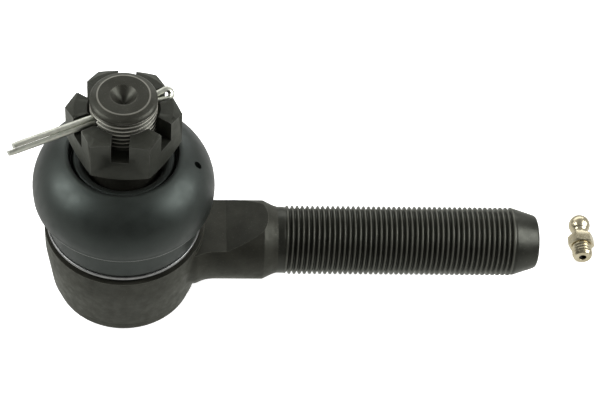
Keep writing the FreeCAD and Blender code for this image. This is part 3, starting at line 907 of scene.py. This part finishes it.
def fitting_shell():
    """Screw, neck and ball head turned in one, bored through."""
    bm = bmesh.new()
    thread_start = 0.35
    thread_end = 3.9
    shaft_r = FITTING_THREAD_R - 0.5
    helix_zone(bm, X, thread_start, thread_end, RIGHT_HAND, fitting_crest_r, fitting_depth,
               pitch=FITTING_PITCH, segments=72)
    rear = rounded([
        (FITTING_CRIMP_R, FITTING_CRIMP_L, 0), (FITTING_CRIMP_R, 0, 0.12), (2.45, 0, 0.15),
        (2.7, thread_start, 0),
    ])
    turn_outline(bm, rear, X, 72)
    neck_x = HEAD_CENTRE - math.sqrt(HEAD_R ** 2 - FITTING_NECK_R ** 2)
    front = rounded([
        (FITTING_THREAD_R, thread_end, 0), (shaft_r, 4.1, 0.1), (shaft_r, 8.4, 0.1),
        (FITTING_NECK_R, 8.7, 0.2), (FITTING_NECK_R, neck_x, 0),
    ])
    start_deg = math.degrees(math.atan2(neck_x - HEAD_CENTRE, FITTING_NECK_R))
    end_deg = math.degrees(math.asin((FITTING_END - HEAD_CENTRE) / HEAD_R))
    ball = arc_points((0, HEAD_CENTRE), HEAD_R, start_deg, end_deg, 24)
    inside = rounded([
        (ball[-1][0], FITTING_END, 0), (FITTING_MOUTH_R + 0.3, FITTING_END, 0.1),
        (FITTING_MOUTH_R, FITTING_END - 0.3, 0.1), (FITTING_MOUTH_R, 13.3, 0.05), (FITTING_BORE_R, 12.7, 0.1),
        (FITTING_BORE_R, FITTING_CRIMP_L, 0.05), (FITTING_CRIMP_R, FITTING_CRIMP_L, 0),
    ])
    turn_outline(bm, front + ball[1:] + inside, X, 72)
    piece = finish_piece("grease_fitting_shell", bm, 45)
    piece.data.transform(fitting_turn())
    return piece


def fitting_hexagon():
    """Hexagon lying on a flat, with both faces chamfered to a circle."""
    corner_r = HEX_AF / 2 / math.cos(math.radians(30))
    angles = [math.radians(60 * k + 30) for k in range(6)]
    corners = [(corner_r * math.sin(angle), corner_r * math.cos(angle)) for angle in angles]
    low_ring = [(FITTING_THREAD_L, y, z) for y, z in corners]
    high_ring = [(HEX_END, y, z) for y, z in corners]
    piece = prism("grease_fitting_hexagon", low_ring, high_ring)
    face_r = HEX_AF / 2 - 0.15
    wide = 4.1
    cone = [
        (0, FITTING_THREAD_L), (face_r, FITTING_THREAD_L), (wide, FITTING_THREAD_L + 0.45),
        (wide, HEX_END - 0.45), (face_r, HEX_END), (0, HEX_END),
    ]
    carve(piece, lathe("hex_cone", cone, axis=X, segments=96), "INTERSECT")
    carve(piece, plug("hex_bore", FITTING_THREAD_R - 0.5, 4, 8, X, 72))
    soften_edges(piece, 0.1, 2, 20)
    shade_by_angle(piece, 30)
    piece.data.transform(fitting_turn())
    return piece


# -------------------------------------------------------------- put together

dress(forging(), "housing", FORGED, "forged_steel", "socket_housing")
dress(rim(), "housing", FORGED, "forged_steel", "socket_housing")
dress(spigot(), "housing", FORGED, "forged_steel", "socket_housing")
dress(shank(), "housing", THREADED, "forged_steel", "socket_housing")
dress(stud(), "stud", STUD, "stud_steel", "ball_stud")
dress(castle_nut(), "stud", NUT, "nut_steel", "castle_nut")
dress(cotter_pin(), "lock_pin", PIN_WIRE, "pin_wire", "cotter_pin")
dress(lower_ring(), "housing", RING_STEEL, "ring_steel", "boot_lower_ring")
dress(end_cover(), "housing", COVER, "cover_steel", "end_cover")
dress(fitting_shell(), "grease_fitting", ZINC, "fitting_zinc", "fitting_body")
dress(fitting_hexagon(), "grease_fitting", ZINC, "fitting_zinc", "fitting_body")


def dress_boot(piece, below, above, start_z, end_z):
    """A boot piece bends between two bodies that one hinge joins."""
    piece.data.materials.append(RUBBER)
    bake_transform(piece, below, above, start=(0, 0, start_z * MM), end=(0, 0, end_z * MM))
    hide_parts("dust_boot")


dress_boot(boot_skirt(), "housing", "boot_fold", RING_TOP_Z, SKIRT_TOP_Z)
dress_boot(boot_dome(), "boot_fold", "boot_lip", SKIRT_TOP_Z, LIP_Z - 1.0)


def paint_node(node, material):
    """A CAD node that stays as it is gets its material."""
    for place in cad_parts[node].material_slots:
        place.material = material


paint_node("upper_bearing", BEARING)
paint_node("lower_bearing", BEARING)
paint_node("preload_spring", SPRING)
paint_node("boot_upper_ring", RING_STEEL)
paint_node("fitting_check_ball", BEARING)
paint_node("fitting_spring", SPRING)


# ------------------------------------------------------------- floor and light

BACKDROP_R = 4500


def backdrop():
    """Pale floor and sky far outside the object, seen by the camera and not lighting the object."""
    bm = bmesh.new()
    bmesh.ops.create_uvsphere(bm, u_segments=48, v_segments=24, radius=BACKDROP_R)
    for face in bm.faces:
        face.normal_flip()
    bmesh.ops.delete(bm, geom=[v for v in bm.verts if v.co.z < -10], context="VERTS")
    sky = finish_piece("pale_sky", bm)
    bm = bmesh.new()
    corners = [(x * BACKDROP_R, y * BACKDROP_R) for x, y in ((-1, -1), (1, -1), (1, 1), (-1, 1))]
    bm.faces.new([bm.verts.new((x, y, BASE_Z - 0.02)) for x, y in corners])
    floor = finish_piece("floor", bm)
    for piece, glow in ((sky, 0.95), (floor, 0.86)):
        paper = Finish(piece.name + "_paper", 0.9, specular=0.0)
        paper.shader.inputs["Base Color"].default_value = (0.8, 0.8, 0.8, 1)
        paper.shader.inputs["Emission Color"].default_value = (1, 1, 1, 1)
        paper.shader.inputs["Emission Strength"].default_value = glow
        piece.data.materials.append(paper.done())
        piece.visible_diffuse = False
        piece.visible_glossy = False
    sky.visible_shadow = False


def softbox(name, place, target, size, power):
    """Rectangular area light aimed at a point, all in millimetres."""
    data = bpy.data.lights.new(name, "AREA")
    data.shape = "RECTANGLE"
    data.size = size[0] * MM
    data.size_y = size[1] * MM
    data.energy = power
    light = bpy.data.objects.new(name, data)
    light.location = Vector(place) * MM
    light.rotation_euler = (Vector(target) - Vector(place)).to_track_quat("-Z", "Y").to_euler()
    bpy.context.scene.collection.objects.link(light)


def white_room():
    """World light: pale behind and at the sides, dim in front, and white below as from a white table."""
    world = bpy.data.worlds.new("white_room")
    world.use_nodes = True
    nodes = world.node_tree.nodes
    links = world.node_tree.links
    direction = nodes.new("ShaderNodeTexCoord").outputs["Generated"]
    split = nodes.new("ShaderNodeSeparateXYZ")
    links.new(direction, split.inputs["Vector"])
    depth = nodes.new("ShaderNodeMapRange")
    depth.inputs["From Min"].default_value = -0.9
    depth.inputs["From Max"].default_value = 0.5
    depth.inputs["To Min"].default_value = 0.12
    depth.inputs["To Max"].default_value = 0.42
    links.new(split.outputs["Y"], depth.inputs["Value"])
    below = nodes.new("ShaderNodeMapRange")
    below.inputs["From Min"].default_value = 0.1
    below.inputs["From Max"].default_value = -0.35
    below.inputs["To Max"].default_value = 0.9
    links.new(split.outputs["Z"], below.inputs["Value"])
    stronger = nodes.new("ShaderNodeMath")
    stronger.operation = "MAXIMUM"
    links.new(depth.outputs["Result"], stronger.inputs[0])
    links.new(below.outputs["Result"], stronger.inputs[1])
    links.new(stronger.outputs["Value"], nodes["Background"].inputs["Strength"])
    nodes["Background"].inputs["Color"].default_value = (1, 1, 0.97, 1)
    bpy.context.scene.world = world


def lights():
    middle = (45, 0, 15)
    softbox("left_softbox", (-420, -40, 300), (0, 0, 20), (300, 340), 2.2)
    softbox("right_softbox", (470, -60, 300), middle, (340, 340), 2.6)
    softbox("back_softbox", (40, 520, 260), middle, (900, 260), 1.5)
    white_room()


# --------------------------------------------------------------------- camera

CAMERA_AZIMUTH = math.radians(-7.9)
CAMERA_ELEVATION = math.radians(50.96)
CAMERA_ROLL = math.radians(6.73)
CAMERA_TARGET = Vector((49.7, 0, 18.54))
CAMERA_DISTANCE = 509.9
CAMERA_LENS = 107.8


def camera():
    data = bpy.data.cameras.new("camera")
    data.lens = CAMERA_LENS
    data.clip_start = 10 * MM
    back = Vector((math.sin(CAMERA_AZIMUTH) * math.cos(CAMERA_ELEVATION),
                   -math.cos(CAMERA_AZIMUTH) * math.cos(CAMERA_ELEVATION), math.sin(CAMERA_ELEVATION)))
    right = Vector((math.cos(CAMERA_AZIMUTH), math.sin(CAMERA_AZIMUTH), 0))
    level = Matrix((right, back.cross(right), back)).transposed().to_4x4()
    eye = Matrix.Translation((CAMERA_TARGET + back * CAMERA_DISTANCE) * MM)
    viewer = bpy.data.objects.new("camera", data)
    viewer.matrix_world = eye @ level @ Matrix.Rotation(CAMERA_ROLL, 4, "Z")
    bpy.context.scene.collection.objects.link(viewer)
    bpy.context.scene.camera = viewer


backdrop()
lights()
camera()
bpy.context.scene.view_settings.view_transform = "Standard"
